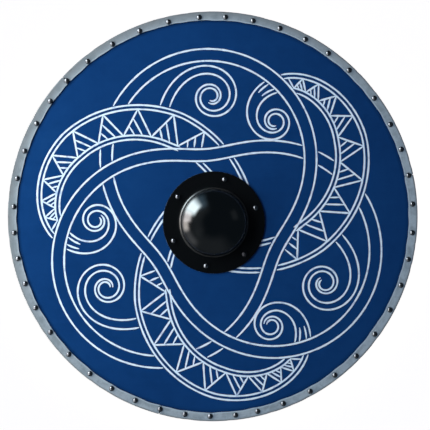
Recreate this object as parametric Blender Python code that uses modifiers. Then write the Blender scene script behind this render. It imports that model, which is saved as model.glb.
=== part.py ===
# Wooden round shield, lying on its back with the painted face up.
# A plywood board with a round hand hole, a domed steel boss nailed over the hole, a wooden grip bar
# across the back, and a folded steel rim in three strips held by square-shanked nails.
# Metres, +Z up. The origin is on the floor, under the middle of the rim circle.

import math

import bmesh
import bpy
import numpy as np
from mathutils import Matrix

# Driving dimensions
SHIELD_DIAMETER = 0.610
BOARD_THICKNESS = 0.010
HAND_HOLE_DIAMETER = 0.096
FIT_GAP = 0.0003

RIM_SHEET = 0.0010
RIM_FACE_WIDTH = 0.0132
RIM_BACK_WIDTH = 0.0120
RIM_BEND = 0.0012
RIM_CORNER_CUT = 0.0025
RIM_SEAM_ANGLES = (11.8, 137.1, 254.8)
RIM_SEAM_GAP = 0.0005
RIM_NAIL_INSET = 0.0079
RIM_NAIL_SHIFT = (0.0011, -0.0004)
RIM_NAILS_PER_STRIP = 15
# How far the nails of each strip were driven from an even pitch: (nail number, degrees), straight between
RIM_NAIL_DRIFT = (
    ((0, 0.0), (2, -1.2), (3, -0.7), (4, 1.7), (6, 0.4), (9, -0.7), (10, -1.5), (11, -0.9), (14, 0.1)),
    ((0, 0.0), (2, -0.6), (3, 0.2), (5, 0.9), (9, -0.4), (12, 0.8), (14, 0.3)),
    ((0, 0.0), (3, -1.6), (4, -3.0), (5, -3.1), (7, -1.8), (10, -0.6), (13, -0.9), (14, -0.5)),
)

BOSS_DIAMETER = 0.152
BOSS_CROWN_RADIUS = 0.065
BOSS_CROWN_DIAMETER = 0.0944
BOSS_SHOULDER_RADIUS = 0.003
BOSS_WALL_HEIGHT = 0.0028
BOSS_FILLET = 0.0067
BOSS_SHEET = 0.0015
BOSS_CENTRE = (0.0018, -0.0092)
BOSS_NAIL_INSET = 0.0103
BOSS_NAIL_ANGLES = (19.0, 76.0, 144.5, 204.5, 260.0, 314.0)

NAIL_HEAD_DIAMETER = 0.0080
NAIL_HEAD_HEIGHT = 0.0026
NAIL_SHANK_WIDTH = 0.0024
NAIL_TIP_LENGTH = 0.0010

GRIP_LENGTH = 0.300
GRIP_THICKNESS = 0.016
GRIP_HAND_WIDTH = 0.032
GRIP_HAND_LENGTH = 0.070
GRIP_SHOULDER_WIDTH = 0.046
GRIP_END_WIDTH = 0.030
GRIP_TAB_LENGTH = 0.034
GRIP_TAB_THICKNESS = 0.008
GRIP_EDGE_ROUNDING = 0.0025
GRIP_SCREW_HEAD_DIAMETER = 0.0085
GRIP_SCREW_HEAD_HEIGHT = 0.0030
GRIP_SCREW_BITE = 0.0065

# Facet counts
RIM_STEPS = 72
BOSS_STEPS = 36
HAND_HOLE_STEPS = 36
CROWN_RINGS = 6
SHOULDER_RINGS = 2
FILLET_RINGS = 3
HEAD_STEPS = 8
HEAD_RINGS = 2
GRIP_SAMPLES = 27
SECTOR_POINTS = 5
CUT_MARGIN = 0.002
MERGE_DISTANCE = 1e-6
SCREW_MERGE_DISTANCE = 1e-5

# Angles in degrees: below the first, faces are one flat face. Above the second, an edge is sharp.
# Above the third, an edge of the grip bar is rounded and an edge of a nail is sharp.
FLAT_ANGLE = 0.2
SHARP_ANGLE = 35.0
CORNER_ANGLE = 50.0

# Levels and radii worked out from the dimensions above
RIM_RADIUS = SHIELD_DIAMETER / 2
BOARD_RADIUS = RIM_RADIUS - RIM_SHEET - FIT_GAP
BOARD_BACK = GRIP_THICKNESS + FIT_GAP
BOARD_FRONT = BOARD_BACK + BOARD_THICKNESS
RIM_BOTTOM = BOARD_BACK - FIT_GAP - RIM_SHEET
RIM_TOP = BOARD_FRONT + FIT_GAP + RIM_SHEET
RIM_NAIL_RADIUS = RIM_RADIUS - RIM_NAIL_INSET
BOSS_BOTTOM = BOARD_FRONT + FIT_GAP
BOSS_FLANGE_TOP = BOSS_BOTTOM + BOSS_SHEET
BOSS_NAIL_RADIUS = BOSS_DIAMETER / 2 - BOSS_NAIL_INSET
GRIP_SCREW_OFFSET = GRIP_LENGTH / 2 - GRIP_TAB_LENGTH / 2
GRIP_TAB_BACK = GRIP_THICKNESS - GRIP_TAB_THICKNESS

RAW_STEEL = ("rim_steel", (0.42, 0.46, 0.48), 0.42, 1.0)
BLACK_STEEL = ("boss_black", (0.012, 0.013, 0.015), 0.22, 0.0)
NAIL_STEEL = ("nail_black", (0.025, 0.027, 0.030), 0.28, 0.6)
BLUE_WOOD = ("painted_wood", (0.010, 0.052, 0.160), 0.55, 0.0)
BARE_WOOD = ("bare_wood", (0.42, 0.26, 0.13), 0.60, 0.0)


def clear_scene():
    for thing in list(bpy.data.objects):
        bpy.data.objects.remove(thing)


def collection(name):
    made = bpy.data.collections.new(name)
    bpy.context.scene.collection.children.link(made)
    return made


def finish_of(look):
    """One Principled material for each finish, made the first time it is asked for."""
    name, colour, roughness, metallic = look
    found = bpy.data.materials.get(name)
    if found:
        return found
    made = bpy.data.materials.new(name)
    made.use_nodes = True
    shader = made.node_tree.nodes["Principled BSDF"]
    shader.inputs["Base Color"].default_value = (*colour, 1.0)
    shader.inputs["Roughness"].default_value = roughness
    shader.inputs["Metallic"].default_value = metallic
    made.diffuse_color = (*colour, 1.0)
    return made


def add_object(name, data, home, look=None):
    made = bpy.data.objects.new(name, data)
    home.objects.link(made)
    if look:
        data.materials.clear()
        data.materials.append(finish_of(look))
    return made


def move_to(home, thing):
    """A primitive is made in the scene's own collection. This puts it in another."""
    for old in list(thing.users_collection):
        old.objects.unlink(thing)
    home.objects.link(thing)


def hide_cutter(cutter):
    cutter.hide_render = True
    cutter.display_type = "WIRE"
    return cutter


def frozen_mesh(source, name):
    """The evaluated mesh of an object, which is then removed."""
    bpy.context.view_layer.update()
    graph = bpy.context.evaluated_depsgraph_get()
    mesh = bpy.data.meshes.new_from_object(source.evaluated_get(graph))
    mesh.name = name
    mesh.transform(source.matrix_world)
    shape = bmesh.new()
    shape.from_mesh(mesh)
    bmesh.ops.remove_doubles(shape, verts=shape.verts, dist=MERGE_DISTANCE)
    bmesh.ops.dissolve_limit(
        shape, angle_limit=math.radians(FLAT_ANGLE), verts=shape.verts, edges=shape.edges
    )
    shape.to_mesh(mesh)
    shape.free()
    bpy.data.objects.remove(source)
    return mesh


def turned(name, profile, steps, home, closed=False):
    """A profile in the XZ plane, listed down its outer side, turned about Z."""
    mesh = bpy.data.meshes.new(name)
    count = len(profile)
    edges = [(i, i + 1) for i in range(count - 1)]
    if closed:
        edges.append((count - 1, 0))
    mesh.from_pydata([(x, 0.0, z) for x, z in profile], edges, [])
    made = bpy.data.objects.new(name, mesh)
    home.objects.link(made)
    screw = made.modifiers.new("Turn", "SCREW")
    screw.axis = "Z"
    screw.steps = steps
    screw.render_steps = steps
    screw.use_merge_vertices = True
    screw.merge_threshold = SCREW_MERGE_DISTANCE
    screw.use_normal_calculate = False
    return made


def flat_outline(name, points, bottom, top, home):
    """A closed plan outline given a thickness, from bottom to top."""
    curve = bpy.data.curves.new(name, "CURVE")
    curve.dimensions = "2D"
    curve.fill_mode = "BOTH"
    curve.extrude = (top - bottom) / 2
    spline = curve.splines.new("POLY")
    spline.points.add(len(points) - 1)
    for point, (x, y) in zip(spline.points, points):
        point.co = (x, y, 0.0, 1.0)
    spline.use_cyclic_u = True
    made = bpy.data.objects.new(name, curve)
    made.location = (0.0, 0.0, (bottom + top) / 2)
    home.objects.link(made)
    return made


def cut(target, cutter, operation="DIFFERENCE"):
    step = target.modifiers.new(cutter.name, "BOOLEAN")
    step.operation = operation
    step.solver = "EXACT"
    step.object = cutter


def shade(mesh, angle=SHARP_ANGLE):
    mesh.shade_smooth()
    mesh.set_sharp_from_angle(angle=math.radians(angle))


def on_circle(centre, radius, degrees):
    turn = math.radians(degrees)
    return (centre[0] + radius * math.cos(turn), centre[1] + radius * math.sin(turn))


def strip_spans():
    """Start and end angle of each rim strip."""
    ends = list(RIM_SEAM_ANGLES[1:]) + [RIM_SEAM_ANGLES[0] + 360.0]
    return list(zip(RIM_SEAM_ANGLES, ends))


def rim_nail_angles():
    """Even pitches from seam to seam with each nail's drift, so that one nail stands on each seam."""
    angles = []
    for (start, end), drift in zip(strip_spans(), RIM_NAIL_DRIFT):
        pitch = (end - start) / RIM_NAILS_PER_STRIP
        numbers, degrees = zip(*drift)
        for k in range(RIM_NAILS_PER_STRIP):
            angles.append(start + pitch * k + float(np.interp(k, numbers, degrees)))
    return angles


def nail_mesh(name, head_diameter, head_height, shank_length, home, look):
    """A low domed head on a square shank. The head's underside is at z = 0 and the shank runs down."""
    turns = [math.pi / 2 * k / HEAD_RINGS for k in range(HEAD_RINGS + 1)]
    profile = [(head_diameter / 2 * math.sin(t), head_height * math.cos(t)) for t in turns]
    profile.append((0.0, 0.0))
    head = turned(name + "_head", profile, HEAD_STEPS, home)
    bpy.ops.mesh.primitive_cube_add(size=1.0)
    shank = bpy.context.object
    buried = head_height / 2
    shank.data.transform(Matrix.Diagonal((NAIL_SHANK_WIDTH, NAIL_SHANK_WIDTH, shank_length + buried, 1.0)))
    shank.data.transform(Matrix.Translation((0.0, 0.0, (buried - shank_length) / 2)))
    cut(head, shank, "UNION")
    mesh = frozen_mesh(head, name)
    bpy.data.objects.remove(shank)
    mesh.materials.clear()
    mesh.materials.append(finish_of(look))
    shade(mesh, CORNER_ANGLE)
    return mesh


def hole_cutter(name, places, bottom, top, home):
    """One square prism at each place, with room round a nail's shank. A place is x, y and a turn."""
    width = NAIL_SHANK_WIDTH + 2 * FIT_GAP
    shape = bmesh.new()
    for x, y, degrees in places:
        made = bmesh.ops.create_cube(shape, size=1.0)
        size = Matrix.Diagonal((width, width, top - bottom, 1.0))
        turn = Matrix.Rotation(math.radians(degrees), 4, "Z")
        move = Matrix.Translation((x, y, (top + bottom) / 2))
        bmesh.ops.transform(shape, matrix=move @ turn @ size, verts=made["verts"])
    mesh = bpy.data.meshes.new(name)
    shape.to_mesh(mesh)
    shape.free()
    return hide_cutter(add_object(name, mesh, home))


def rim_places():
    """The nails' circle was struck a little off the rim's middle, so their inset changes round the rim."""
    places = []
    for angle in rim_nail_angles():
        out = on_circle((0.0, 0.0), 1.0, angle)
        reach = RIM_NAIL_RADIUS + out[0] * RIM_NAIL_SHIFT[0] + out[1] * RIM_NAIL_SHIFT[1]
        places.append((out[0] * reach, out[1] * reach, angle))
    return places


def boss_places():
    return [(*on_circle(BOSS_CENTRE, BOSS_NAIL_RADIUS, a), a) for a in BOSS_NAIL_ANGLES]


def screw_places():
    x, y = BOSS_CENTRE
    return [(x, y + side * GRIP_SCREW_OFFSET, 0.0) for side in (1, -1)]


def make_board(home, cutters):
    bpy.ops.mesh.primitive_cylinder_add(vertices=RIM_STEPS, radius=BOARD_RADIUS, depth=BOARD_THICKNESS)
    board = bpy.context.object
    board.name = "board"
    board.location = (0.0, 0.0, (BOARD_BACK + BOARD_FRONT) / 2)
    board.data.materials.append(finish_of(BLUE_WOOD))
    move_to(home, board)
    for cutter in cutters:
        cut(board, cutter)
    shade(board.data)


def make_hand_hole_cutter(home):
    bpy.ops.mesh.primitive_cylinder_add(
        vertices=HAND_HOLE_STEPS,
        radius=HAND_HOLE_DIAMETER / 2,
        depth=BOARD_THICKNESS + 2 * CUT_MARGIN,
        location=(*BOSS_CENTRE, (BOARD_BACK + BOARD_FRONT) / 2),
    )
    cutter = bpy.context.object
    cutter.name = "hand_hole_cutter"
    move_to(home, cutter)
    return hide_cutter(cutter)


def rim_profile():
    """Section of the folded rim: a channel round the board's edge, open towards the middle."""
    outer, top, bottom = RIM_RADIUS, RIM_TOP, RIM_BOTTOM
    wall = outer - RIM_SHEET
    face = outer - RIM_FACE_WIDTH
    back = outer - RIM_BACK_WIDTH
    return [
        (face, top),
        (outer - RIM_BEND, top),
        (outer, top - RIM_BEND),
        (outer, bottom + RIM_BEND),
        (outer - RIM_BEND, bottom),
        (back, bottom),
        (back, bottom + RIM_SHEET),
        (wall, bottom + RIM_SHEET),
        (wall, top - RIM_SHEET),
        (face, top - RIM_SHEET),
    ]


def make_corner_cutter(home):
    """A three-sided prism at the inner end of each seam takes the corners off the two strips that meet."""
    reach = 2 * RIM_CORNER_CUT
    middle = RIM_RADIUS - RIM_FACE_WIDTH + RIM_CORNER_CUT - reach
    depth = RIM_TOP - RIM_BOTTOM + 2 * CUT_MARGIN
    shape = bmesh.new()
    for angle in RIM_SEAM_ANGLES:
        prism = bmesh.ops.create_cone(
            shape, segments=3, radius1=reach, radius2=reach, depth=depth, cap_ends=True
        )
        # The cone's first corner is on +Y, so a quarter turn back points it outwards
        turn = Matrix.Rotation(math.radians(angle - 90.0), 4, "Z")
        place = Matrix.Translation((*on_circle((0.0, 0.0), middle, angle), (RIM_TOP + RIM_BOTTOM) / 2))
        bmesh.ops.transform(shape, matrix=place @ turn, verts=prism["verts"])
    mesh = bpy.data.meshes.new("corner_cutter")
    shape.to_mesh(mesh)
    shape.free()
    return hide_cutter(add_object("corner_cutter", mesh, home))


def make_rim_strip(number, start, end, home, cutter_home, cutters):
    """One strip of the rim: the whole ring, kept between two seams."""
    strip = turned(f"rim_strip_{number}", rim_profile(), RIM_STEPS, home, closed=True)
    strip.data.materials.append(finish_of(RAW_STEEL))
    half_gap = math.degrees(RIM_SEAM_GAP / 2 / RIM_RADIUS)
    reach = SHIELD_DIAMETER
    turns = np.linspace(start + half_gap, end - half_gap, SECTOR_POINTS)
    plan = [(0.0, 0.0)] + [on_circle((0.0, 0.0), reach, a) for a in turns]
    bottom, top = RIM_BOTTOM - CUT_MARGIN, RIM_TOP + CUT_MARGIN
    outline = flat_outline(f"sector_{number}", plan, bottom, top, cutter_home)
    sector_mesh = frozen_mesh(outline, f"sector_{number}")
    sector = hide_cutter(add_object(f"sector_{number}", sector_mesh, cutter_home))
    cut(strip, sector, "INTERSECT")
    for cutter in cutters:
        cut(strip, cutter)
    shade(strip.data)


def crown_and_wall(rings, shrink=0.0):
    """Half section of the dome from its top: a spherical crown, a tight shoulder, a wall and a fillet.

    With a shrink the same section is drawn that far inside, for the under side of the sheet.
    """
    base = BOSS_CROWN_DIAMETER / 2
    lean = math.asin(base / BOSS_CROWN_RADIUS)
    crown_drop = BOSS_CROWN_RADIUS * (1 - math.cos(lean))
    shoulder_drop = BOSS_SHOULDER_RADIUS * math.cos(lean)
    wall = base + BOSS_SHOULDER_RADIUS * (1 - math.sin(lean))
    wall_top = BOSS_FLANGE_TOP + BOSS_FILLET + BOSS_WALL_HEIGHT
    crown_centre = wall_top + shoulder_drop + crown_drop - BOSS_CROWN_RADIUS
    shoulder_centre = (wall - BOSS_SHOULDER_RADIUS, wall_top)
    fillet_centre = (wall + BOSS_FILLET, BOSS_FLANGE_TOP + BOSS_FILLET)
    crown_rings, shoulder_rings, fillet_rings = rings
    line = []
    for k in range(crown_rings + 1):
        turn = lean * k / crown_rings
        reach = BOSS_CROWN_RADIUS - shrink
        line.append((reach * math.sin(turn), crown_centre + reach * math.cos(turn)))
    for k in range(1, shoulder_rings + 1):
        turn = lean + (math.pi / 2 - lean) * k / shoulder_rings
        reach = BOSS_SHOULDER_RADIUS - shrink
        line.append((shoulder_centre[0] + reach * math.sin(turn), wall_top + reach * math.cos(turn)))
    for k in range(fillet_rings + 1):
        turn = math.pi / 2 * k / fillet_rings
        reach = BOSS_FILLET + shrink
        line.append((fillet_centre[0] - reach * math.cos(turn), fillet_centre[1] - reach * math.sin(turn)))
    return line


def make_boss(home, holes):
    edge = BOSS_DIAMETER / 2
    outside = crown_and_wall((CROWN_RINGS, SHOULDER_RINGS, FILLET_RINGS)) + [(edge, BOSS_FLANGE_TOP)]
    inside = crown_and_wall((CROWN_RINGS // 2, SHOULDER_RINGS, FILLET_RINGS - 1), BOSS_SHEET)
    inside.append((edge, BOSS_BOTTOM))
    boss = turned("boss", outside + inside[::-1], BOSS_STEPS, home)
    boss.location = (*BOSS_CENTRE, 0.0)
    boss.data.materials.append(finish_of(BLACK_STEEL))
    cut(boss, holes)
    shade(boss.data)


def grip_outline():
    """Plan of the grip bar: a waist for the hand, wide shoulders under the boss nails, narrow ends."""
    half = GRIP_LENGTH / 2
    stations = np.array([0.0, GRIP_HAND_LENGTH / 2, BOSS_NAIL_RADIUS, half])
    widths = np.array([GRIP_HAND_WIDTH, GRIP_HAND_WIDTH, GRIP_SHOULDER_WIDTH, GRIP_END_WIDTH])
    samples = np.linspace(-half, half, GRIP_SAMPLES)
    place = np.interp(np.abs(samples), stations, np.arange(4.0))
    step = np.clip(place.astype(int), 0, 2)
    blend = place - step
    blend = blend * blend * (3 - 2 * blend)
    side = (widths[step] * (1 - blend) + widths[step + 1] * blend) / 2
    x, y = BOSS_CENTRE
    right = [(x + s, y + t) for s, t in zip(side, samples)]
    left = [(x - s, y + t) for s, t in zip(side, samples)]
    return right + left[::-1]


def make_tab_cutters(home):
    """A box under each end of the grip bar, which leaves the thin tab that the screw goes through."""
    x, y = BOSS_CENTRE
    made = []
    for number, side in enumerate((1, -1), 1):
        bpy.ops.mesh.primitive_cube_add(size=1.0)
        box = bpy.context.object
        box.name = f"tab_cutter_{number}"
        depth = GRIP_TAB_BACK + CUT_MARGIN
        length = GRIP_TAB_LENGTH + CUT_MARGIN
        width = GRIP_SHOULDER_WIDTH * 2
        box.data.transform(Matrix.Diagonal((width, length, depth, 1.0)))
        middle = side * (GRIP_LENGTH / 2 - GRIP_TAB_LENGTH + length / 2)
        box.location = (x, y + middle, GRIP_TAB_BACK - depth / 2)
        move_to(home, box)
        made.append(hide_cutter(box))
    return made


def make_grip(home, cutter_home, cutters):
    outline = flat_outline("grip_outline", grip_outline(), 0.0, GRIP_THICKNESS, home)
    mesh = frozen_mesh(outline, "grip_bar")
    grip = add_object("grip_bar", mesh, home, BARE_WOOD)
    bevel = grip.modifiers.new("Rounded edges", "BEVEL")
    bevel.width = GRIP_EDGE_ROUNDING
    bevel.segments = 2
    bevel.limit_method = "ANGLE"
    bevel.angle_limit = math.radians(CORNER_ANGLE)
    for box in make_tab_cutters(cutter_home):
        cut(grip, box)
    for cutter in cutters:
        cut(grip, cutter)
    shade(grip.data)


def place_nails(stem, mesh, places, level, home, upside_down=False):
    for number, (x, y, degrees) in enumerate(places, 1):
        nail = bpy.data.objects.new(f"{stem}_{number:02d}", mesh)
        nail.location = (x, y, level)
        flip = math.pi if upside_down else 0.0
        nail.rotation_euler = (flip, 0.0, math.radians(degrees))
        home.objects.link(nail)


def main():
    clear_scene()
    shield = collection("round_shield")
    cutters = collection("cutters")

    head_seat = FIT_GAP
    rim_shank = head_seat + (RIM_TOP - RIM_BOTTOM) + NAIL_TIP_LENGTH
    boss_shank = head_seat + (BOSS_FLANGE_TOP - BOARD_BACK) + NAIL_TIP_LENGTH
    screw_shank = head_seat + GRIP_TAB_THICKNESS + FIT_GAP + GRIP_SCREW_BITE

    rim_holes = hole_cutter(
        "rim_nail_holes", rim_places(), RIM_BOTTOM - CUT_MARGIN, RIM_TOP + CUT_MARGIN, cutters
    )
    boss_hole_bottom = BOARD_BACK - NAIL_TIP_LENGTH - FIT_GAP
    boss_holes = hole_cutter(
        "boss_nail_holes", boss_places(), boss_hole_bottom, BOSS_FLANGE_TOP + CUT_MARGIN, cutters
    )
    screw_hole_top = BOARD_BACK + GRIP_SCREW_BITE + FIT_GAP
    screw_holes = hole_cutter(
        "screw_holes", screw_places(), GRIP_TAB_BACK - CUT_MARGIN, screw_hole_top, cutters
    )
    hand_hole = make_hand_hole_cutter(cutters)
    corners = make_corner_cutter(cutters)

    make_board(shield, (hand_hole, rim_holes, boss_holes, screw_holes))
    for number, (start, end) in enumerate(strip_spans(), 1):
        make_rim_strip(number, start, end, shield, cutters, (rim_holes, corners))
    make_boss(shield, boss_holes)
    make_grip(shield, cutters, (boss_holes, screw_holes))

    rim_nail = nail_mesh(
        "rim_nail", NAIL_HEAD_DIAMETER, NAIL_HEAD_HEIGHT, rim_shank, cutters, NAIL_STEEL
    )
    boss_nail = nail_mesh(
        "boss_nail", NAIL_HEAD_DIAMETER, NAIL_HEAD_HEIGHT, boss_shank, cutters, NAIL_STEEL
    )
    grip_screw = nail_mesh(
        "grip_screw", GRIP_SCREW_HEAD_DIAMETER, GRIP_SCREW_HEAD_HEIGHT, screw_shank, cutters, NAIL_STEEL
    )
    place_nails("rim_nail", rim_nail, rim_places(), RIM_TOP + head_seat, shield)
    place_nails("boss_nail", boss_nail, boss_places(), BOSS_FLANGE_TOP + head_seat, shield)
    place_nails("grip_screw", grip_screw, screw_places(), GRIP_TAB_BACK - head_seat, shield, True)
    bpy.context.view_layer.update()


main()
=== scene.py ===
# A painted round shield lying on its back, seen from straight above.
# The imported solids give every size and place. This file makes the finer pieces that stand for them,
# their finishes, the painted ornament, the floor, the lights and the camera.

import math

import bmesh
import bpy
import numpy as np
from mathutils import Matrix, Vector
from mathutils.geometry import delaunay_2d_cdt


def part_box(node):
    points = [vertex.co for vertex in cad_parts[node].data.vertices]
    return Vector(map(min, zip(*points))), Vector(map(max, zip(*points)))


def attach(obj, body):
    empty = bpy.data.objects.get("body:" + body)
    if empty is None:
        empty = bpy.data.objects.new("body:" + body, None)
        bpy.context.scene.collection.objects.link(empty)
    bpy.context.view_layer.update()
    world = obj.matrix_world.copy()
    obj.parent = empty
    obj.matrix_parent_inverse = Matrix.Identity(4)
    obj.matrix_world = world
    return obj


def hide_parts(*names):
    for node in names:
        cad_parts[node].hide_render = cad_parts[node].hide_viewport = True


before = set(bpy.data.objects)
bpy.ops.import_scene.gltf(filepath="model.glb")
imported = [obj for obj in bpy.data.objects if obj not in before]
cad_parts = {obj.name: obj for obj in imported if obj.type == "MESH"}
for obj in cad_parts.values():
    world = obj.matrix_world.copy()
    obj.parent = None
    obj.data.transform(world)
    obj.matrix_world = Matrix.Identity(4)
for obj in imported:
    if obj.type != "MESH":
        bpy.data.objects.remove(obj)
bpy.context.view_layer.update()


def middleOf(node):
    low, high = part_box(node)
    return [(low.x + high.x) / 2, (low.y + high.y) / 2]


rimStrips = ["rim_strip_1", "rim_strip_2", "rim_strip_3"]
rimNailNodes = [f"rim_nail_{k:02d}" for k in range(1, 46)]
bossNailNodes = [f"boss_nail_{k:02d}" for k in range(1, 7)]
screwNodes = ["grip_screw_01", "grip_screw_02"]

boardLow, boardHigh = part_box("board")
bossLow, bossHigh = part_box("boss")
bossMiddle = np.array(middleOf("boss"))
rimLow = np.min([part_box(name)[0] for name in rimStrips], axis=0)
rimHigh = np.max([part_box(name)[1] for name in rimStrips], axis=0)
rimRadius = float(rimHigh[0] - rimLow[0]) / 2
print("solids loaded: rim radius", round(rimRadius, 4), "boss at", bossMiddle.round(4))


# Small tools for meshes

def gridFaces(rows, columns, aroundRows=False, aroundColumns=False):
    # Quads between neighbours of a grid of points numbered row by row
    i = np.arange(rows if aroundRows else rows - 1)
    j = np.arange(columns if aroundColumns else columns - 1)
    i, j = np.meshgrid(i, j, indexing="ij")
    nextRow = (i + 1) % rows
    nextColumn = (j + 1) % columns
    corners = [i * columns + j, nextRow * columns + j,
               nextRow * columns + nextColumn, i * columns + nextColumn]
    return np.stack(corners, axis=-1).reshape(-1, 4)


def addObject(name, data):
    # A new object at the origin of the scene
    made = bpy.data.objects.new(name, data)
    bpy.context.scene.collection.objects.link(made)
    return made


def makePiece(name, points, faces, finishes, slots=None, sharpAngle=35.0, uv=None, marks=None):
    # A mesh object at the origin, with doubles merged and its faces turned outwards
    mesh = bpy.data.meshes.new(name)
    mesh.from_pydata(np.asarray(points).tolist(), [], [list(map(int, f)) for f in faces])
    for finish in finishes:
        mesh.materials.append(finish)
    if slots is not None:
        mesh.polygons.foreach_set("material_index", np.asarray(slots, dtype=np.int32))
    if uv is not None:
        owner = np.zeros(len(mesh.loops), dtype=np.int32)
        mesh.loops.foreach_get("vertex_index", owner)
        layer = mesh.uv_layers.new(name="alongPiece")
        layer.data.foreach_set("uv", np.asarray(uv, dtype=np.float32)[owner].ravel())
    for label, values in (marks or {}).items():
        layer = mesh.attributes.new(label, "FLOAT", "POINT")
        layer.data.foreach_set("value", np.asarray(values, dtype=np.float32))
    shape = bmesh.new()
    shape.from_mesh(mesh)
    bmesh.ops.remove_doubles(shape, verts=shape.verts, dist=1e-6)
    bmesh.ops.recalc_face_normals(shape, faces=shape.faces)
    shape.to_mesh(mesh)
    shape.free()
    mesh.shade_smooth()
    mesh.set_sharp_from_angle(angle=math.radians(sharpAngle))
    print(name, len(mesh.polygons), "faces")
    return addObject(name, mesh)


def spun(profile, middle, steps):
    # Each profile point (r, z) goes round the axis through the middle: x = r cos a, y = r sin a
    profile = np.asarray(profile, float)
    a = np.linspace(0.0, 2 * np.pi, steps, endpoint=False)
    x = middle[0] + profile[:, :1] * np.cos(a)
    y = middle[1] + profile[:, :1] * np.sin(a)
    z = np.broadcast_to(profile[:, 1:], x.shape)
    points = np.stack([x, y, z], axis=-1).reshape(-1, 3)
    return points, gridFaces(len(profile), steps, aroundColumns=True)


def joined(shapes):
    # Several (points, faces) pairs put into one
    points, faces, start = [], [], 0
    for p, f in shapes:
        points.append(p)
        faces += [list(np.asarray(face) + start) for face in f]
        start += len(p)
    return np.concatenate(points), faces


def arc(centre, radius, fromDegrees, toDegrees, count):
    a = np.radians(np.linspace(fromDegrees, toDegrees, count))
    return np.stack([centre[0] + radius * np.cos(a), centre[1] + radius * np.sin(a)], axis=1)


def wander(angle, seed, waves, size):
    # A sum of sines round the ring with random starts: smooth, seamless, from about -size to size
    dice = np.random.default_rng(seed)
    total = np.zeros_like(angle)
    for wave in waves:
        total = total + np.sin(angle * wave + dice.uniform(0, 2 * np.pi)) * dice.uniform(0.5, 1.0)
    return size * total / (0.5 * len(waves) ** 0.5 + 0.4)


def unit(value):
    return np.clip(value, 0, 1)


def smooth(value):
    # A step from 0 to 1 with level ends: v v (3 - 2 v)
    value = unit(value)
    return value * value * (3 - 2 * value)


def softly(value, low, high, soft):
    # 1 from low to high and 0 outside, with smooth steps as wide as the soft edge
    return smooth((value - low) / soft + 0.5) * smooth((high - value) / soft + 0.5)


def atLevel(places, level):
    # Another column of one value: a height for places, or a level for insets
    return np.column_stack([places, np.full(len(places), level)])


def runAlong(line):
    return np.concatenate([[0.0], np.cumsum(np.linalg.norm(np.diff(line, axis=0), axis=1))])


# Small tools for finishes. A new node goes into the tree of the sockets that feed it.

def feed(socket, value):
    if isinstance(value, bpy.types.NodeSocket):
        socket.id_data.links.new(value, socket)
    elif isinstance(value, tuple) and len(value) == 3 and len(socket.default_value) == 4:
        socket.default_value = (*value, 1.0)
    else:
        socket.default_value = value


def fedNode(kind, inputs, operation=None):
    # The outputs of a new node whose inputs, by label or number, are linked or set
    tree = next(value.id_data for value in inputs.values() if isinstance(value, bpy.types.NodeSocket))
    node = tree.nodes.new(kind)
    if operation:
        node.operation = operation
    for label, value in inputs.items():
        feed(node.inputs[label], value)
    return node.outputs


def newFinish(name, **sockets):
    finish = bpy.data.materials.new(name)
    finish.use_nodes = True
    shader = finish.node_tree.nodes["Principled BSDF"]
    for label, value in sockets.items():
        feed(shader.inputs[label.replace("_", " ")], value)
    return finish, finish.node_tree


def dress(finish, *looks):
    # Colour, roughness, normal and metallic, as many as are given
    shader = finish.node_tree.nodes["Principled BSDF"]
    for label, value in zip(("Base Color", "Roughness", "Normal", "Metallic"), looks):
        feed(shader.inputs[label], value)
    return finish


def place(tree, stretch=(1.0, 1.0, 1.0), turn=0.0):
    # Coordinates of the piece, stretched and turned about Z
    coords = tree.nodes.new("ShaderNodeTexCoord").outputs["Object"]
    inputs = {"Vector": coords, "Scale": stretch, "Rotation": (0.0, 0.0, math.radians(turn))}
    return fedNode("ShaderNodeMapping", inputs)["Vector"]


def alongPiece(tree, stretch):
    # The piece's own UV map: metres along it and across it, stretched
    uv = tree.nodes.new("ShaderNodeUVMap")
    uv.uv_map = "alongPiece"
    return fedNode("ShaderNodeMapping", {"Vector": uv.outputs["UV"], "Scale": (*stretch, 1.0)})["Vector"]


def mark(tree, label, output="Fac"):
    node = tree.nodes.new("ShaderNodeAttribute")
    node.attribute_name = label
    return node.outputs[output]


def noise(where, scale, detail=2.0, rough=0.5, distort=0.0):
    inputs = {"Vector": where, "Scale": scale, "Detail": detail, "Roughness": rough, "Distortion": distort}
    return fedNode("ShaderNodeTexNoise", inputs)["Fac"]


def ramp(value, *stops):
    node = value.id_data.nodes.new("ShaderNodeValToRGB")
    bar = node.color_ramp
    while len(bar.elements) < len(stops):
        bar.elements.new(0.5)
    for element, (position, colour) in zip(bar.elements, stops):
        element.position = position
        element.color = (*colour, 1.0) if isinstance(colour, tuple) else (colour, colour, colour, 1.0)
    feed(node.inputs["Fac"], value)
    return node.outputs["Color"]


def mixed(amount, first, second):
    tree = next(value.id_data for value in (amount, first) if isinstance(value, bpy.types.NodeSocket))
    node = tree.nodes.new("ShaderNodeMix")
    node.data_type = "RGBA"
    for number, value in ((0, amount), (6, first), (7, second)):
        feed(node.inputs[number], value)
    return node.outputs[2]


def spread(value, fromLow, fromHigh, toLow, toHigh):
    limits = {"From Min": fromLow, "From Max": fromHigh, "To Min": toLow, "To Max": toHigh}
    return fedNode("ShaderNodeMapRange", {"Value": value, **limits})["Result"]


def sums(how, first, second=0.0):
    return fedNode("ShaderNodeMath", {0: first, 1: second}, how)["Value"]


def times(first, second):
    return sums("MULTIPLY", first, second)


def fromMiddle(where):
    # Distance from the Z axis: the length of the place with its height taken out
    flat = fedNode("ShaderNodeVectorMath", {0: where, 1: (1.0, 1.0, 0.0)}, "MULTIPLY")["Vector"]
    return fedNode("ShaderNodeVectorMath", {0: flat}, "LENGTH")["Value"]


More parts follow.
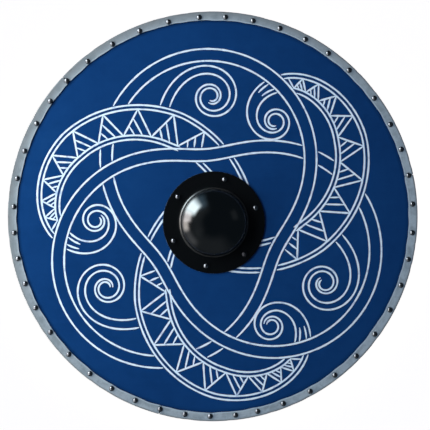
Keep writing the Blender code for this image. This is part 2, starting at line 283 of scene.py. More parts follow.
def bump(height, depth, strength=1.0, under=None):
    # Height from 0 to 1 stands for the depth in metres
    inputs = {"Height": height, "Distance": depth, "Strength": strength}
    if under:
        inputs["Normal"] = under
    return fedNode("ShaderNodeBump", inputs)["Normal"]


# The painted front

paint = {
    "blueDeep": (0.0029, 0.0302, 0.1280),
    "blueMiddle": (0.0034, 0.0344, 0.1430),
    "blueLight": (0.0042, 0.0392, 0.1570),
    "speck": (0.006, 0.050, 0.180),
    "line": (0.600, 0.745, 0.930),
    "lineThin": (0.330, 0.450, 0.680),
    # A dark ring beside the rim's inner edge: partly dirt, partly painted shade
    "dirtAndShade": (0.0010, 0.0080, 0.0300),
    "dirtAndShadeFrom": 0.2862,
    "dirtAndShadeTo": 0.2934,
    "dirtAndShadeWave": 0.0008,
    "roughness": (0.33, 0.49),
    "brushTurn": 24.0,
    "peelDepth": 0.00012,
}


def bluePaint():
    finish, tree = newFinish("bluePaint", Specular_IOR_Level=0.06)
    where = place(tree)
    cloud = noise(where, 7.0, 3.0, 0.55, 0.3)
    mottle = noise(where, 60.0, 4.0, 0.6)
    brushed = noise(place(tree, (14.0, 160.0, 20.0), paint["brushTurn"]), 1.0, 3.0, 0.55)
    tone = sums("ADD", times(cloud, 0.45), times(mottle, 0.40))
    tone = sums("ADD", tone, times(brushed, 0.15))
    colour = ramp(tone, (0.36, paint["blueDeep"]), (0.50, paint["blueMiddle"]),
                  (0.66, paint["blueLight"]))
    specks = ramp(noise(where, 420.0, 2.0, 0.6), (0.68, 0.0), (0.78, 0.35))
    colour = mixed(specks, colour, paint["speck"])
    # Painted shade: the blue is painted darker in a ring beside the rim's inner edge and in its notches,
    # partly dirt and partly painted shade of the rim's edge.
    wavy = spread(mottle, 0.3, 0.7, -paint["dirtAndShadeWave"], paint["dirtAndShadeWave"])
    away = sums("ADD", fromMiddle(where), wavy)
    dirtAndShade = spread(away, paint["dirtAndShadeFrom"], paint["dirtAndShadeTo"], 0.0, 1.0)
    dirtAndShade = ramp(dirtAndShade, (0.0, 0.0), (0.64, 0.42), (0.78, 0.50), (0.92, 1.0))
    colour = mixed(dirtAndShade, colour, paint["dirtAndShade"])
    rough = spread(mottle, 0.3, 0.7, *paint["roughness"])
    brushMarks = noise(place(tree, (30.0, 520.0, 30.0), paint["brushTurn"]), 1.0)
    relief = bump(brushMarks, paint["peelDepth"] * 0.5, 0.5)
    relief = bump(noise(where, 650.0), paint["peelDepth"], 0.35, relief)
    return dress(finish, colour, rough, relief)


def linePaint():
    finish, tree = newFinish("linePaint", Specular_IOR_Level=0.4)
    where = place(tree)
    patchy = noise(where, 95.0, 4.0, 0.62)
    colour = ramp(patchy, (0.30, paint["lineThin"]), (0.44, paint["line"]))
    gaps = ramp(noise(where, 520.0, 2.0, 0.6), (0.62, 0.0), (0.80, 0.5))
    colour = mixed(gaps, colour, paint["lineThin"])
    relief = bump(noise(where, 480.0), 0.00015, 0.4)
    return dress(finish, colour, spread(patchy, 0.3, 0.7, 0.58, 0.42), relief)


# Wood: the bare back of the plywood, its edge round the hand hole, and the grip bar

wood = {
    "plyPale": (0.640, 0.460, 0.270),
    "plyMiddle": (0.540, 0.365, 0.200),
    "plyDark": (0.400, 0.245, 0.120),
    "glueLine": (0.180, 0.100, 0.050),
    "gripPale": (0.560, 0.370, 0.190),
    "gripDark": (0.300, 0.165, 0.075),
    "handled": (0.190, 0.105, 0.050),
    "plies": 7,
}


def plyFace():
    finish, tree = newFinish("plyFace", Specular_IOR_Level=0.4)
    figure = noise(place(tree, (2.6, 13.0, 2.0)), 1.0, 3.0, 0.55, 1.6)
    rings = ramp(sums("FRACT", times(figure, 9.0)), (0.0, wood["plyDark"]), (0.18, wood["plyMiddle"]),
                 (0.75, wood["plyPale"]), (1.0, wood["plyMiddle"]))
    fibre = noise(place(tree, (16.0, 520.0, 60.0)), 1.0, 3.0, 0.6)
    colour = mixed(0.55, rings, wood["plyPale"])
    colour = mixed(ramp(fibre, (0.38, 0.0), (0.72, 0.55)), colour, wood["plyDark"])
    blotch = noise(place(tree), 9.0, 3.0, 0.6)
    colour = mixed(ramp(blotch, (0.45, 0.0), (0.75, 0.35)), colour, wood["plyMiddle"])
    return dress(finish, colour, spread(blotch, 0.3, 0.7, 0.50, 0.66), bump(fibre, 0.00025, 0.5))


def plyEdge(bottom, top):
    finish, tree = newFinish("plyEdge", Specular_IOR_Level=0.3)
    where = place(tree)
    height = fedNode("ShaderNodeSeparateXYZ", {"Vector": where})["Z"]
    level = spread(height, bottom, top, 0.0, float(wood["plies"]))
    level = sums("ADD", level, times(noise(where, 90.0), 0.18))
    within = sums("FRACT", level)
    odd = sums("GREATER_THAN", sums("FRACT", times(level, 0.5)), 0.5)
    layers = mixed(odd, wood["plyPale"], wood["plyDark"])
    glue = ramp(within, (0.0, 1.0), (0.10, 0.0), (0.90, 0.0), (1.0, 1.0))
    colour = mixed(glue, layers, wood["glueLine"])
    grainy = noise(place(tree, (500.0, 500.0, 60.0)), 1.0, 3.0, 0.6)
    colour = mixed(ramp(grainy, (0.40, 0.0), (0.75, 0.5)), colour, wood["plyMiddle"])
    return dress(finish, colour, spread(grainy, 0.3, 0.7, 0.62, 0.80), bump(grainy, 0.0003, 0.6))


def gripWood():
    finish, tree = newFinish("gripWood", Specular_IOR_Level=0.45)
    bands = noise(place(tree, (95.0, 2.4, 70.0)), 1.0, 3.0, 0.5, 0.8)
    colour = ramp(bands, (0.34, wood["gripDark"]), (0.50, wood["gripPale"]), (0.64, wood["gripPale"]),
                  (0.70, wood["gripDark"]))
    fibre = noise(place(tree, (700.0, 22.0, 700.0)), 1.0, 3.0, 0.6)
    colour = mixed(ramp(fibre, (0.40, 0.0), (0.72, 0.6)), colour, wood["gripDark"])
    hand = mark(tree, "handled")
    patchy = noise(place(tree), 45.0, 3.0, 0.6)
    colour = mixed(times(hand, spread(patchy, 0.3, 0.7, 0.3, 0.8)), colour, wood["handled"])
    return dress(finish, colour, spread(hand, 0.0, 1.0, 0.60, 0.38), bump(fibre, 0.00022, 0.5))


# Metal: the rim's dull sheet steel, the boss's dark dome and black flange, and the nails

metal = {
    "sheetPale": (0.610, 0.705, 0.790),
    "sheetDark": (0.410, 0.490, 0.555),
    "sheetBareEdgeAndHighlight": (0.720, 0.850, 0.980),
    "sheetPaintedShade": (0.270, 0.290, 0.305),
    "sheetDarkRoundNails": (0.120, 0.120, 0.120),
    "sheetMetallic": 0.75,
    "bossBlack": (0.0020, 0.0026, 0.0034),
    "bossBare": (0.100, 0.180, 0.290),
    "domeDark": (0.088, 0.090, 0.092),
    "domePale": (0.112, 0.112, 0.112),
    "domeRough": (0.08, 0.17),
    "creaseRough": 0.26,
    "flangeRough": (0.40, 0.40, 0.40),
    "wornFrom": 1.42,
    "nailBlack": (0.060, 0.064, 0.070),
    "nailWorn": (0.160, 0.170, 0.180),
    "nailShaded": (0.024, 0.025, 0.028),
    "nailRough": (0.55, 0.55, 0.55),
}


def rimSheet():
    finish, tree = newFinish("rimSheet", Metallic=metal["sheetMetallic"])
    where = place(tree)
    streak = noise(alongPiece(tree, (30.0, 1500.0)), 1.0, 3.0, 0.6)
    patch = noise(where, 55.0, 4.0, 0.62, 0.4)
    tone = sums("ADD", times(patch, 0.7), times(streak, 0.3))
    colour = ramp(tone, (0.41, metal["sheetDark"]), (0.55, metal["sheetPale"]))
    speck = ramp(noise(where, 380.0, 3.0, 0.65), (0.62, 0.0), (0.74, 0.6))
    colour = mixed(speck, colour, metal["sheetDark"])
    # Painted shade: the sheet is painted darker over its outer bend, and more over part of the ring
    dull = times(mark(tree, "outer"), spread(patch, 0.3, 0.7, 0.4, 1.0))
    colour = mixed(dull, colour, metal["sheetPaintedShade"])
    # Painted highlight: a pale bluish line along the sheet's inner edge, partly the bare cut edge and partly
    # its highlight painted in
    bareEdgeAndHighlight = times(mark(tree, "edge"), spread(patch, 0.3, 0.7, 1.0, 0.55))
    colour = mixed(bareEdgeAndHighlight, colour, metal["sheetBareEdgeAndHighlight"])
    # Darker round each nail head
    darkRoundNails = times(mark(tree, "darkRoundNails"), spread(patch, 0.3, 0.7, 0.5, 1.1))
    colour = mixed(darkRoundNails, colour, metal["sheetDarkRoundNails"])
    relief = bump(noise(where, 130.0), 0.00025, 0.5, bump(streak, 0.00004, 0.4))
    return dress(finish, colour, spread(tone, 0.3, 0.7, 0.42, 0.28), relief)


def bossPaint():
    finish, tree = newFinish("bossPaint", Specular_IOR_Level=0.12)
    where = place(tree)
    haze = noise(where, 26.0, 4.0, 0.6)
    dome = mark(tree, "dome")
    colour = mixed(dome, metal["bossBlack"], mixed(haze, metal["domeDark"], metal["domePale"]))
    chips = sums("ADD", mark(tree, "edge"), times(noise(where, 300.0, 3.0, 0.7), 0.9))
    colour = mixed(sums("GREATER_THAN", chips, metal["wornFrom"]), colour, metal["bossBare"])
    gloss = spread(haze, 0.3, 0.75, *metal["domeRough"])
    gloss = sums("ADD", gloss, times(mark(tree, "crease"), metal["creaseRough"]))
    rough = mixed(dome, metal["flangeRough"], gloss)
    relief = bump(noise(where, 210.0), 0.00003, 0.25)
    return dress(finish, colour, rough, relief, dome)


def nailBlack():
    finish, tree = newFinish("nailBlack", Metallic=1.0)
    where = place(tree)
    rub = noise(where, 330.0, 3.0, 0.6)
    colour = mixed(ramp(rub, (0.50, 0.0), (0.74, 0.6)), metal["nailBlack"], metal["nailWorn"])
    # Painted shade: the marked nail is painted darker for the shade it lies in, and made matt
    shadeDarkened = mark(tree, "shadeDarkened")
    colour = mixed(shadeDarkened, colour, metal["nailShaded"])
    rough = mixed(shadeDarkened, spread(rub, 0.3, 0.7, 0.14, 0.30), metal["nailRough"])
    relief = bump(noise(where, 900.0), 0.00004, 0.4)
    return dress(finish, colour, rough, relief)


blueFinish = bluePaint()
lineFinish = linePaint()
plyFinish = plyFace()
edgeFinish = plyEdge(boardLow.z, boardHigh.z)
gripFinish = gripWood()
rimFinish = rimSheet()
bossFinish = bossPaint()
nailFinish = nailBlack()
print("finishes made")


# The painted ornament: a three-armed whirl woven through a looped ring, with curled shoots.
# Lines are worked out round the boss, in units of u, and moved to the boss at the end.

ornament = {
    "u": 0.0014874,
    "step": 0.0015,
    "lineHalf": 0.00135,
    "taper": (0.45, 0.14),
    "handWander": 0.10,
    "handWaves": (0.011, 0.027, 0.060),
    "breakGap": 0.0018,
    "clear": 0.070,
    "arms": 3,
    "armStart": (14.0, -34.0),
    "armHeading": -8.0,
    "armBends": [(0, 0.008), (50, 0.009), (110, 0.0105), (90, 0.014), (60, 0.026), (56, 0.05), (56, 0.11),
                 (20, 0.16)],
    "armAt": [0.0, 0.2, 0.45, 0.62, 0.8, 1.0],
    "armHalf": [14.0, 18.0, 16.0, 10.0, 4.0, 1.4],
    "armInner": 4.2,
    "ringMiddle": 118.0,
    "ringSwing": 50.0,
    "ringTurn": 95.0,
    "ringHalf": 6.0,
    "shootRoot": 110.0,
    "shootLean": -80.0,
    "shootBends": [(0, -0.010), (40, -0.018), (40, -0.032), (34, -0.046), (34, -0.056), (30, -0.078),
                   (26, -0.115), (16, -0.18)],
    "shootHalf": [5.0, 4.0, 1.3],
    "rootSteps": 40,
    "meetFrom": 0.055,
    "leastApart": 10,
    "coverExtra": 0.004,
    "leastLean": 0.35,
    "hatchPitch": 1.25,
    "hatchParts": (0.33, 0.62),
    "hatchStart": 50,
    "hatchLeast": 4.6,
    "innerLeast": 2.2,
}
u = ornament["u"]
step = ornament["step"]


def curveLine(start, heading, bends):
    # Heading turns by the integral of curvature, which runs straight from bend to bend
    ends = np.cumsum([0.0] + [b[0] for b in bends[1:]])
    s = np.arange(0.0, ends[-1], step / u)
    bend = np.interp(s, ends, [b[1] for b in bends])
    turn = np.concatenate([[0.0], np.cumsum(bend[:-1] + bend[1:]) / 2 * (step / u)])
    angle = np.radians(heading) + turn
    walk = np.cumsum(np.stack([np.cos(angle), np.sin(angle)], axis=1), axis=0) * step
    return walk + np.array(start) * u


def turned(line, degrees):
    a = np.radians(degrees)
    return line @ np.array([[np.cos(a), np.sin(a)], [-np.sin(a), np.cos(a)]])


def sideways(line, closed=False):
    # Unit vectors to the left of the line
    along = np.roll(line, -1, axis=0) - np.roll(line, 1, axis=0) if closed else np.gradient(line, axis=0)
    along = along / np.linalg.norm(along, axis=1)[:, None]
    return np.stack([-along[:, 1], along[:, 0]], axis=1)


def beside(line, distance, closed=False):
    return line + sideways(line, closed) * np.broadcast_to(distance, len(line))[:, None]


class Ribbon:
    # A woven band: its middle line, its half width along the line, and the bands that pass over it
    def __init__(self, line, half, closed=False, hatched=False):
        self.line = line
        self.half = np.broadcast_to(half, len(line)).astype(float)
        self.closed = closed
        self.hatched = hatched
        self.meets = []
        self.covers = []


def cross(a, b):
    return a[..., 0] * b[..., 1] - a[..., 1] * b[..., 0]


def crossings(first, second):
    # Pairs of steps, one on each line, that cut each other
    p, q = (np.concatenate([r.line, r.line[:1]]) if r.closed else r.line for r in (first, second))
    pStep, qStep = np.diff(p, axis=0), np.diff(q, axis=0)
    gap = q[None, :-1] - p[:-1, None]
    under = cross(pStep[:, None], qStep[None])
    under = np.where(np.abs(under) < 1e-15, 1e-15, under)
    s = cross(gap, qStep[None]) / under
    t = cross(gap, pStep[:, None]) / under
    i, j = np.nonzero((s >= 0) & (s < 1) & (t >= 0) & (t < 1))
    if first is second:
        apart = np.abs(i - j)
        least = ornament["leastApart"]
        keep = (apart > least) & (i < j) & (apart < len(pStep) - least)
        i, j = i[keep], j[keep]
    return list(zip(i.tolist(), j.tolist()))


def weave(ribbons):
    # Where the ring meets itself the outward run is on top. Each arm or shoot goes under, over, under.
    found = []
    for x, first in enumerate(ribbons):
        for y in range(x, len(ribbons)):
            for i, j in crossings(first, ribbons[y]):
                if np.linalg.norm(first.line[i]) > ornament["meetFrom"]:
                    first.meets.append((i, len(found), 0))
                    ribbons[y].meets.append((j, len(found), 1))
                    found.append([(x, i), (y, j), None])
    rule = (False, True, False)
    for x, ribbon in enumerate(ribbons):
        turn = 0
        for i, number, end in sorted(ribbon.meets):
            (a, ia), (b, _), known = found[number]
            if known is not None:
                continue
            if a == b:
                line = ribbons[a].line
                outward = np.linalg.norm(line[(ia + 5) % len(line)]) > np.linalg.norm(line[ia])
                found[number][2] = 0 if outward else 1
            elif x > 0:
                found[number][2] = end if rule[turn % 3] else 1 - end
                turn += 1
    for a, b, over in found:
        (t, i), (l, j) = (a, b) if over == 0 else (b, a)
        top, low = ribbons[t], ribbons[l]
        along = top.line[(i + 1) % len(top.line)] - top.line[i]
        across = low.line[(j + 1) % len(low.line)] - low.line[j]
        lean = abs(cross(along, across)) / np.linalg.norm(along) / np.linalg.norm(across)
        width = top.half[i] + low.half[j] + ornament["coverExtra"]
        reach = int(width / max(lean, ornament["leastLean"]) / step) + 4
        near = np.arange(i - reach, i + reach + 1)
        near = near % len(top.line) if top.closed else near[(near >= 0) & (near < len(top.line))]
        low.covers.append((top.line[near], top.half[near], j, reach))
    return len(found)


def hiddenBy(points, line, half, margin):
    # True where a point lies within the band, away from the band's two ends
    gaps = np.linalg.norm(points[:, None] - line[None], axis=2)
    k = gaps.argmin(axis=1)
    inside = (k > 0) & (k < len(line) - 1)
    return (gaps[np.arange(len(k)), k] < half[k] + margin) & inside


def brushLine(line, closed, seed):
    # A painted line: its two sides, which swell and thin a little and taper at open ends
    half = np.full(len(line), ornament["lineHalf"])
    run = np.arange(len(line)) * step
    dice = np.random.default_rng(seed)
    for length in ornament["handWaves"]:
        phase = dice.uniform(0, 6.3)
        half *= 1 + ornament["handWander"] / 2 * np.sin(run * 2 * np.pi / length + phase)
    if closed:
        side = sideways(line, True)
        line, side, half = (np.concatenate([v, v[:1]]) for v in (line, side, half))
    else:
        side = sideways(line)
        fromEnd = np.minimum(np.arange(len(line)), np.arange(len(line))[::-1])
        atEnd, perStep = ornament["taper"]
        half = half * unit(atEnd + perStep * fromEnd)
    return line + side * half[:, None], line - side * half[:, None]


strokes = []


def paintLine(ribbon, line, index, closed=False):
    # The parts of a line that no band covers become brush lines. Index tells where along the ribbon it is.
    keep = np.linalg.norm(line, axis=1) > ornament["clear"]
    for cover, half, middle, reach in ribbon.covers:
        away = np.abs(index - middle)
        if ribbon.closed:
            away = np.minimum(away, len(ribbon.line) - away)
        near = np.flatnonzero(away <= reach)
        if len(near):
            keep[near[hiddenBy(line[near], cover, half, ornament["breakGap"])]] = False
    if closed and keep.all():
        strokes.append(brushLine(line, True, len(strokes)))
        return
    if closed:
        first = int(np.flatnonzero(~keep)[0])
        line, keep = np.roll(line, -first, axis=0), np.roll(keep, -first)
    edges = np.flatnonzero(np.diff(np.concatenate([[0], keep.astype(int), [0]])))
    for a, b in zip(edges[::2], edges[1::2]):
        if b - a > 3:
            strokes.append(brushLine(line[a:b], False, len(strokes)))


def straight(a, b):
    t = np.linspace(0, 1, max(4, int(np.linalg.norm(b - a) / step)))[:, None]
    return a * (1 - t) + b * t


def hatching(line, half, start, stop):
    # A zigzag from side to side, with two short lines in every other triangle
    edges = (beside(line, half), beside(line, -half))
    spots, i = [], start
    while i < stop:
        spots.append((i, len(spots) % 2))
        i += max(4, int(ornament["hatchPitch"] * half[i] / step))
    corners = [edges[side][i] for i, side in spots]
    lines = [straight(a, b) for a, b in zip(corners[:-1], corners[1:])]
    for (i0, s0), (i1, s1), (i2, _) in zip(spots[0:-2:2], spots[1:-1:2], spots[2::2]):
        for part in ornament["hatchParts"]:
            foot = edges[s0][int(i0 + (i2 - i0) * part)]
            lines.append(straight(foot, edges[s1][i1] * (1 - part) + edges[s0][i2] * part))
    return lines


def paintRibbon(ribbon):
    index = np.arange(len(ribbon.line))
    for side in (1, -1):
        paintLine(ribbon, beside(ribbon.line, side * ribbon.half, ribbon.closed), index, ribbon.closed)
    if ribbon.hatched:
        inner = np.maximum(ribbon.half - ornament["armInner"] * u, 0)
        last = int(np.flatnonzero(inner > ornament["innerLeast"] * u)[-1])
        lastHatch = int(np.flatnonzero(inner > ornament["hatchLeast"] * u)[-1])
        for side in (1, -1):
            paintLine(ribbon, beside(ribbon.line, side * inner)[:last], index[:last])
        for line in hatching(ribbon.line, inner, ornament["hatchStart"], lastHatch):
            near = np.linalg.norm(ribbon.line - line.mean(axis=0), axis=1).argmin()
            paintLine(ribbon, line, np.full(len(line), near))


def drawOrnament():
    # The ring goes round twice: r = middle + swing cos 1.5 (a - turn)
    a = np.radians(np.linspace(0, 720, 1440, endpoint=False))
    swing = ornament["ringSwing"] * np.cos(1.5 * (a - np.radians(ornament["ringTurn"])))
    r = (ornament["ringMiddle"] + swing) * u
    loop = np.stack([r * np.cos(a), r * np.sin(a)], axis=1)
    loop = np.concatenate([loop, loop[:1]])
    run = runAlong(loop)
    even = np.linspace(0, run[-1], int(run[-1] / step), endpoint=False)
    ring = np.stack([np.interp(even, run, loop[:, k]) for k in (0, 1)], axis=1)
    ribbons = [Ribbon(ring, ornament["ringHalf"] * u, closed=True)]
    arm = curveLine(ornament["armStart"], ornament["armHeading"], ornament["armBends"])
    armHalf = u * np.interp(np.linspace(0, 1, len(arm)), ornament["armAt"], ornament["armHalf"])
    root = int(np.flatnonzero(np.linalg.norm(arm, axis=1) > ornament["shootRoot"] * u)[0])
    along = arm[root + 1] - arm[root]
    heading = np.degrees(np.arctan2(along[1], along[0])) + ornament["shootLean"]
    shoot = curveLine(arm[root] / u, heading, ornament["shootBends"])
    shootHalf = u * np.interp(np.linspace(0, 1, len(shoot)), [0, 0.35, 1], ornament["shootHalf"])
    turns = [360.0 / ornament["arms"] * k for k in range(ornament["arms"])]
    ribbons += [Ribbon(turned(arm, turn), armHalf, hatched=True) for turn in turns]
    ribbons += [Ribbon(turned(shoot, turn), shootHalf) for turn in turns]
    count = weave(ribbons)
    reach = ornament["rootSteps"]
    nearRoot = slice(root - reach, root + reach)
    for ribbon, turn in zip(ribbons[-ornament["arms"]:], turns):
        ribbon.covers.append((turned(arm, turn)[nearRoot], armHalf[nearRoot], 0, reach))
    for ribbon in ribbons:
        paintRibbon(ribbon)
    print("ornament drawn:", count, "crossings,", len(strokes), "lines")


drawOrnament()


# The board: one flat front in two paints, the edge, the back and the hand hole

board = {
    "steps": 240,
    "holeDiameter": 0.096,
    "holeRounding": 0.0012,
    "lineRun": 8,
}


def makeBoard():
    low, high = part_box("board")
    radius = (high.x - low.x) / 2
    hole = board["holeDiameter"] / 2
    steps = board["steps"]
    a = np.linspace(0, 2 * np.pi, steps, endpoint=False)
    circle = np.stack([np.cos(a), np.sin(a)], axis=1)
    flat = [circle * radius, circle * hole + bossMiddle]
    faces = [range(steps), range(steps, 2 * steps)]
    start = 2 * steps
    # Each brush line is cut into short runs, so that a curl's run never overlaps itself
    for left, right in strokes:
        for a0 in range(0, len(left) - 1, board["lineRun"]):
            a1 = min(a0 + board["lineRun"], len(left) - 1)
            run = np.concatenate([right[a0:a1 + 1], left[a0:a1 + 1][::-1]]) + bossMiddle
            flat.append(run)
            faces.append(range(start, start + len(run)))
            start += len(run)
    places = [Vector(p) for p in np.concatenate(flat).tolist()]
    made = delaunay_2d_cdt(places, [], [list(f) for f in faces], 1, 1e-6)
    front = np.array([tuple(v) for v in made[0]])
    triangles = [t for t, owners in zip(made[2], made[5]) if 1 not in owners]
    painted = [int(max(owners) > 1) for owners in made[5] if 1 not in owners]

    rounding = board["holeRounding"]
    rings = [(radius, 0, high.z), (radius, 0, low.z), (hole + rounding, 1, low.z),
             (hole + rounding * 0.3, 1, low.z + rounding * 0.3), (hole, 1, low.z + rounding),
             (hole, 1, high.z)]
    shell = [atLevel(circle * r + bossMiddle * atBoss, z) for r, atBoss, z in rings]
    shellFaces = gridFaces(len(rings), steps, aroundColumns=True)
    shellSlots = np.repeat([3, 2, 3, 3, 3], steps)
    points, faces = joined([(atLevel(front, high.z), triangles), (np.concatenate(shell), shellFaces)])
    finishes = [blueFinish, lineFinish, plyFinish, edgeFinish]
    piece = makePiece("roundBoard", points, faces, finishes, np.concatenate([painted, shellSlots]), 30.0)
    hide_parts("board")
    return piece


roundBoard = makeBoard()


# The rim: three folded sheet strips, a little rippled and dented between the nails

rim = {
    "sheet": 0.0010,
    "faceWidth": 0.0132,
    "backWidth": 0.0120,
    "bend": 0.0015,
    "seams": (11.8, 137.1, 254.8),
    "cornerCuts": (0.0007, 0.0038, 0.0007),
    "seamHalf": 0.00030,
    "seamFlare": 0.00035,
    "endReach": 0.012,
    "sections": 520,
    "endDensity": 0.10,
    "ripple": 0.00035,
    "edgeWander": 0.00045,
    "dent": 0.00035,
    "flatReach": 0.014,
    "darkRoundNailsReach": 0.0055,
    "edgeLine": 0.0014,
    "outerBand": 0.0028,
    "outerFade": 0.0015,
    # Where the outward half of the face is painted darker: painted shade
    "shadeDarkenedAt": 125.0,
    "shadeDarkenedHalf": 80.0,
    "shadeDarkenedSoft": 60.0,
    "shadeDarkened": 0.68,
}


def rimSection():
    # Outer and inner side of the folded sheet as (inset from the rim radius, level), from the face's inner
    # edge over the two bends to the back's inner edge
    top, bottom = float(rimHigh[2]), float(rimLow[2])
    bend, sheet = rim["bend"], rim["sheet"]
    faceRun = np.linspace(rim["faceWidth"], bend, 12)[:-1]
    backRun = np.linspace(bend, rim["backWidth"], 8)[1:]
    wall = np.linspace(top - bend, bottom + bend, 6)[1:-1]

    def side(thick):
        return np.concatenate([
            atLevel(faceRun, top - thick),
            arc((bend, top - bend), bend - thick, 90, 180, 6),
            np.column_stack([np.full(len(wall), thick), wall]),
            arc((bend, bottom + bend), bend - thick, 180, 270, 6),
            atLevel(backRun, bottom + thick),
        ])
    return side(0.0), side(sheet)


def makeRimStrip(number, start, end, cuts, nailPlaces):
    outer, inner = rimSection()
    across = len(outer)
    loop = np.concatenate([outer, inner[::-1], outer[:1]])
    inset, level = loop[:, 0], loop[:, 1]
    span = np.radians(end - start)
    t = np.linspace(0, 1, rim["sections"])
    t = t - rim["endDensity"] * np.sin(2 * np.pi * t) / (2 * np.pi)
    angle = np.radians(start) + span * t
    angle = np.broadcast_to(angle[:, None], (len(angle), len(inset))).copy()

    # 0 at the outer bend and 1 at the inner edge of the face or of the back
    inward = unit((inset - rim["bend"]) / (rim["faceWidth"] - rim["bend"]))
    onFace = level > level.mean()
    middle = angle.copy()

    # Ends: a narrow gap that flares towards the rim, and the face's inner corner cut off
    gap = rim["seamHalf"] + rim["seamFlare"] * (1 - inward)
    fromInner = rim["faceWidth"] - inset
    startShift, endShift = (gap + np.where(onFace, np.clip(cut - fromInner, 0, None), 0.0) for cut in cuts)
    reach = rim["endReach"] / rimRadius
    fromStart = unit((middle - middle[:1]) / reach)
    fromEnd = unit((middle[-1:] - middle) / reach)
    angle += (startShift * (1 - fromStart) - endShift * (1 - fromEnd)) / rimRadius

    # The sheet is flat at the nails, lifts a little between them, and its edge wanders
    nailAngles = np.arctan2(nailPlaces[:, 1], nailPlaces[:, 0])
    apart = np.abs((middle[:, :1] - nailAngles + np.pi) % (2 * np.pi) - np.pi) * rimRadius
    nearest = apart.argmin(axis=1)
    free = unit(apart.min(axis=1)[:, None] / rim["flatReach"]) ** 2
    lift = rim["ripple"] * free * inward * (0.55 + wander(middle, 5, (17, 31, 53), 0.45)) * onFace
    pull = rim["edgeWander"] * wander(middle, 11, (9, 23, 41, 77), 1.0) * inward ** 2
    dent = rim["dent"] * unit(wander(middle, 23, (13, 29, 61, 97), 1.0) - 0.35) * (1 - inward)
    radius = rimRadius - inset - pull - dent
    height = level + lift - 0.3 * dent * onFace
    points = np.stack([radius * np.cos(angle), radius * np.sin(angle), height], axis=-1)

    nailInset = rimRadius - np.linalg.norm(nailPlaces, axis=1)[nearest][:, None]
    # Darker round each nail head, fading out a little beyond it
    darkRoundNails = unit(1 - np.hypot(apart.min(axis=1)[:, None], inset - nailInset) / rim["darkRoundNailsReach"])
    # Painted highlight: the edge mark lightens the sheet's inner edge, partly bare cut edge and partly
    # painted highlight
    edge = unit(1.6 - fromInner / rim["edgeLine"]) * np.ones_like(middle)
    # Painted shade: the outer mark darkens the sheet over its outer bend
    outward = unit((rim["outerBand"] - inset) / rim["outerFade"]) * np.ones_like(middle)
    # Painted shade: the outward half of the face is painted darker still over part of the ring
    aside = np.degrees(np.abs((middle - np.radians(rim["shadeDarkenedAt"]) + np.pi) % (2 * np.pi) - np.pi))
    shadeDarkened = softly(aside, -rim["shadeDarkenedHalf"], rim["shadeDarkenedHalf"], rim["shadeDarkenedSoft"])
    shadeDarkened = shadeDarkened * unit((1 - inward) * 1.35)
    outward = unit(outward + rim["shadeDarkened"] * shadeDarkened * onFace)
    marks = {"darkRoundNails": (0.9 * darkRoundNails).ravel(), "edge": edge.ravel(), "outer": outward.ravel()}
    uv = np.stack([middle * rimRadius, np.broadcast_to(runAlong(loop), middle.shape)], axis=-1)
    uv = uv.reshape(-1, 2)

    faces = [list(f) for f in gridFaces(*points.shape[:2])]
    k = np.arange(across - 1)
    cap = np.stack([k, k + 1, 2 * across - 2 - k, 2 * across - 1 - k], axis=1)
    faces += cap.tolist() + (cap + (len(middle) - 1) * len(loop)).tolist()
    piece = makePiece(f"rimStrip_{number}", points.reshape(-1, 3), faces, [rimFinish], None, 40.0, uv, marks)
    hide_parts(f"rim_strip_{number}")
    return piece


rimNailPlaces = np.array([middleOf(name) for name in rimNailNodes])
seams = (*rim["seams"], rim["seams"][0] + 360.0)
cuts = (*rim["cornerCuts"], rim["cornerCuts"][0])
rimPieces = [makeRimStrip(k + 1, seams[k], seams[k + 1], cuts[k:k + 2], rimNailPlaces) for k in range(3)]


# The boss: a dished dome with a sharp shoulder, a short wall and a flat flange

boss = {
    "steps": 180,
    "crownRadius": 0.065,
    "crownDiameter": 0.0944,
    "shoulder": 0.003,
    "wallHeight": 0.0028,
    "fillet": 0.0067,
    "sheet": 0.0015,
    "edgeRounding": 0.00055,
    "flangeWave": 0.00012,
    "waveFrom": 0.058,
    "wearWidth": 0.0014,
    "creaseWidth": 0.0030,
    "creaseSoft": 0.0010,
    "metalTo": 0.0040,
    "metalSoft": 0.0012,
}


def bossSection():
    # Crown arc, shoulder arc, wall, fillet arc and flange with a rounded edge. Then the inner side.
    radius = (bossHigh.x - bossLow.x) / 2
    low = bossLow.z
    flange = low + boss["sheet"]
    base = boss["crownDiameter"] / 2
    lean = math.degrees(math.asin(base / boss["crownRadius"]))
    wall = base + boss["shoulder"] * (1 - math.sin(math.radians(lean)))
    wallTop = flange + boss["fillet"] + boss["wallHeight"]
    crownZ = wallTop + boss["shoulder"] * math.cos(math.radians(lean))
    crownZ -= boss["crownRadius"] * math.cos(math.radians(lean))

    def side(thick):
        return np.concatenate([
            arc((0.0, crownZ), boss["crownRadius"] - thick, 90, 90 - lean, 40),
            arc((wall - boss["shoulder"], wallTop), boss["shoulder"] - thick, 90 - lean, 0, 10)[1:],
            arc((wall + boss["fillet"], flange + boss["fillet"]), boss["fillet"] + thick, 180, 270, 18),
        ])
    edge = boss["edgeRounding"]
    flat = np.linspace(wall + boss["fillet"], radius - edge, 10)[1:-1]
    rimUp = arc((radius - edge, flange - edge), edge, 90, 0, 5)
    rimDown = arc((radius - edge, low + edge), edge, 0, -90, 5)
    return np.concatenate([
        side(0.0), atLevel(flat, flange), rimUp, rimDown,
        atLevel(flat[::-1], low), side(boss["sheet"])[::-1],
    ])


